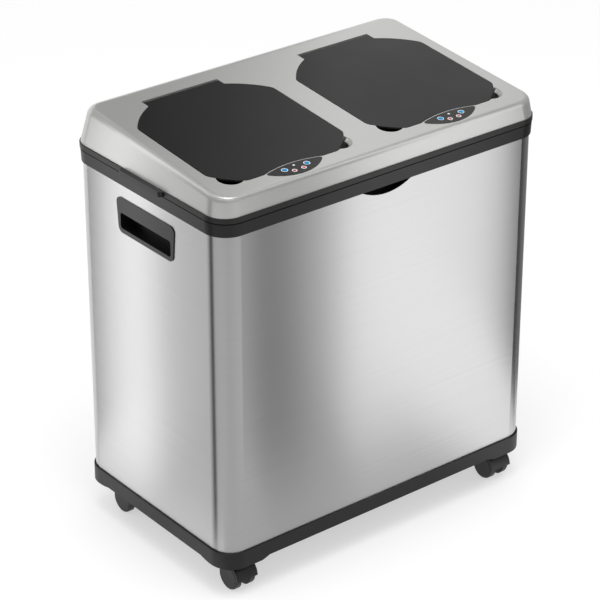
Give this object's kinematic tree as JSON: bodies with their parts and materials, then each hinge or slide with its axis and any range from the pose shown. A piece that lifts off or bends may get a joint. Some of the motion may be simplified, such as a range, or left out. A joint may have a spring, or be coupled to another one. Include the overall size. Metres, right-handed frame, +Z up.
{
  "type": "double recycling bin",
  "caption": "Wide steel bin on casters with a sloping silver head, powered flap doors over separate lift-out buckets, side grips and touch panels.",
  "frame": {"origin": "on the floor under the middle of the bin", "axes": "+X to the right door seen from the front, -Y out of the front, +Z up"},
  "size_m": [0.58, 0.3472, 0.6437],
  "materials": {
    "brushed_steel": "fine brushing that runs round the body",
    "silver_plastic": "satin silver moulding",
    "frame_black": "satin black moulding",
    "base_black": "satin black moulding",
    "grip_black": "satin black moulding",
    "door_black": "satin black moulding",
    "panel_black": "glossy black cover plate",
    "key_blue": "blue key with a white ring",
    "window_red": "dark red window with a white ring",
    "lamp_white": "milky lamp",
    "board_green": "coated circuit board",
    "drive_grey": "plain moulding",
    "bucket_grey": "plain moulding",
    "caster_black": "satin black moulding",
    "wheel_black": "nylon wheel",
    "rubber": "soft pad",
    "plated_steel": "zinc plate",
    "cell_jacket": "printed jacket, left plain"
  },
  "bodies": {
    "casing": {"steel_wrap": "brushed_steel", "base_tray": "base_black", "side_grip_left": "grip_black", "side_grip_right": "grip_black"},
    "frame": {"rim_frame": "frame_black", "finger_cup": "frame_black"},
    "head": {"head_cover": "silver_plastic", "lid_ring": "frame_black", "battery_box": "frame_black", "battery_cover": "frame_black", "battery_cells": "cell_jacket", "power_socket": "frame_black", "head_screws": "plated_steel", "control_panel_left": "panel_black", "sensor_windows_left": "window_red", "signal_lamp_left": "lamp_white", "control_board_left": "board_green", "motor_gearbox_left": "drive_grey", "control_panel_right": "panel_black", "sensor_windows_right": "window_red", "signal_lamp_right": "lamp_white", "control_board_right": "board_green", "motor_gearbox_right": "drive_grey"},
    "door_left": {"door_left": "door_black", "door_shaft_left": "plated_steel", "door_pads_left": "rubber"},
    "open_key_left": {"open_key_left": "key_blue"},
    "close_key_left": {"close_key_left": "key_blue"},
    "bucket_left": {"bucket_left": "bucket_grey"},
    "door_right": {"door_right": "door_black", "door_shaft_right": "plated_steel", "door_pads_right": "rubber"},
    "open_key_right": {"open_key_right": "key_blue"},
    "close_key_right": {"close_key_right": "key_blue"},
    "bucket_right": {"bucket_right": "bucket_grey"},
    "caster_front_left": {"caster_hood_front_left": "caster_black", "caster_stem_front_left": "plated_steel", "caster_axle_front_left": "plated_steel"},
    "wheel_inner_front_left": {"wheel_inner_front_left": "wheel_black"},
    "wheel_outer_front_left": {"wheel_outer_front_left": "wheel_black"},
    "caster_front_right": {"caster_hood_front_right": "caster_black", "caster_stem_front_right": "plated_steel", "caster_axle_front_right": "plated_steel"},
    "wheel_inner_front_right": {"wheel_inner_front_right": "wheel_black"},
    "wheel_outer_front_right": {"wheel_outer_front_right": "wheel_black"},
    "caster_rear_left": {"caster_hood_rear_left": "caster_black", "caster_stem_rear_left": "plated_steel", "caster_axle_rear_left": "plated_steel"},
    "wheel_inner_rear_left": {"wheel_inner_rear_left": "wheel_black"},
    "wheel_outer_rear_left": {"wheel_outer_rear_left": "wheel_black"},
    "caster_rear_right": {"caster_hood_rear_right": "caster_black", "caster_stem_rear_right": "plated_steel", "caster_axle_rear_right": "plated_steel"},
    "wheel_inner_rear_right": {"wheel_inner_rear_right": "wheel_black"},
    "wheel_outer_rear_right": {"wheel_outer_rear_right": "wheel_black"}
  },
  "joints": [
    {"name": "frame_lift", "type": "slide", "parent": "casing", "child": "frame", "axis": [0, 0, 1], "range_m": [0, 0.1]},
    {"name": "head_lift", "type": "slide", "parent": "frame", "child": "head", "axis": [0, 0, 1], "range_m": [0, 0.6]},
    {"name": "bucket_lift_left", "type": "slide", "parent": "casing", "child": "bucket_left", "axis": [0, 0, 1], "range_m": [0, 0.51]},
    {"name": "door_hinge_left", "type": "hinge", "parent": "head", "child": "door_left", "pos_m": [-0.1362, 0.11111, 0.63602], "axis": [-1, 0, 0], "range_deg": [0, 80]},
    {"name": "open_key_press_left", "type": "slide", "parent": "head", "child": "open_key_left", "axis": [0, 0.0882, -0.9961], "range_m": [0, 0.0006], "stiffness_N_per_m": 600},
    {"name": "close_key_press_left", "type": "slide", "parent": "head", "child": "close_key_left", "axis": [0, 0.0882, -0.9961], "range_m": [0, 0.0006], "stiffness_N_per_m": 600},
    {"name": "bucket_lift_right", "type": "slide", "parent": "casing", "child": "bucket_right", "axis": [0, 0, 1], "range_m": [0, 0.51]},
    {"name": "door_hinge_right", "type": "hinge", "parent": "head", "child": "door_right", "pos_m": [0.1362, 0.11111, 0.63602], "axis": [-1, 0, 0], "range_deg": [0, 80]},
    {"name": "open_key_press_right", "type": "slide", "parent": "head", "child": "open_key_right", "axis": [0, 0.0882, -0.9961], "range_m": [0, 0.0006], "stiffness_N_per_m": 600},
    {"name": "close_key_press_right", "type": "slide", "parent": "head", "child": "close_key_right", "axis": [0, 0.0882, -0.9961], "range_m": [0, 0.0006], "stiffness_N_per_m": 600},
    {"name": "caster_swivel_front_left", "type": "hinge", "parent": "casing", "child": "caster_front_left", "pos_m": [-0.2396, -0.1294, 0.04], "axis": [0, 0, 1], "continuous": true},
    {"name": "wheel_roll_inner_front_left", "type": "hinge", "parent": "caster_front_left", "child": "wheel_inner_front_left", "pos_m": [-0.2396, -0.1412, 0.02], "axis": [1, 0, 0], "continuous": true},
    {"name": "wheel_roll_outer_front_left", "type": "hinge", "parent": "caster_front_left", "child": "wheel_outer_front_left", "pos_m": [-0.2396, -0.1412, 0.02], "axis": [1, 0, 0], "continuous": true},
    {"name": "caster_swivel_front_right", "type": "hinge", "parent": "casing", "child": "caster_front_right", "pos_m": [0.2396, -0.1294, 0.04], "axis": [0, 0, 1], "continuous": true},
    {"name": "wheel_roll_inner_front_right", "type": "hinge", "parent": "caster_front_right", "child": "wheel_inner_front_right", "pos_m": [0.2396, -0.1412, 0.02], "axis": [1, 0, 0], "continuous": true},
    {"name": "wheel_roll_outer_front_right", "type": "hinge", "parent": "caster_front_right", "child": "wheel_outer_front_right", "pos_m": [0.2396, -0.1412, 0.02], "axis": [1, 0, 0], "continuous": true},
    {"name": "caster_swivel_rear_left", "type": "hinge", "parent": "casing", "child": "caster_rear_left", "pos_m": [-0.2396, 0.1294, 0.04], "axis": [0, 0, 1], "continuous": true},
    {"name": "wheel_roll_inner_rear_left", "type": "hinge", "parent": "caster_rear_left", "child": "wheel_inner_rear_left", "pos_m": [-0.2396, 0.1176, 0.02], "axis": [1, 0, 0], "continuous": true},
    {"name": "wheel_roll_outer_rear_left", "type": "hinge", "parent": "caster_rear_left", "child": "wheel_outer_rear_left", "pos_m": [-0.2396, 0.1176, 0.02], "axis": [1, 0, 0], "continuous": true},
    {"name": "caster_swivel_rear_right", "type": "hinge", "parent": "casing", "child": "caster_rear_right", "pos_m": [0.2396, 0.1294, 0.04], "axis": [0, 0, 1], "continuous": true},
    {"name": "wheel_roll_inner_rear_right", "type": "hinge", "parent": "caster_rear_right", "child": "wheel_inner_rear_right", "pos_m": [0.2396, 0.1176, 0.02], "axis": [1, 0, 0], "continuous": true},
    {"name": "wheel_roll_outer_rear_right", "type": "hinge", "parent": "caster_rear_right", "child": "wheel_outer_rear_right", "pos_m": [0.2396, 0.1176, 0.02], "axis": [1, 0, 0], "continuous": true}
  ],
  "couplings": [
    {"joint": "bucket_lift_left", "follows": "head_lift", "ratio": 0.85},
    {"joint": "bucket_lift_right", "follows": "head_lift", "ratio": 0.85}
  ]
}
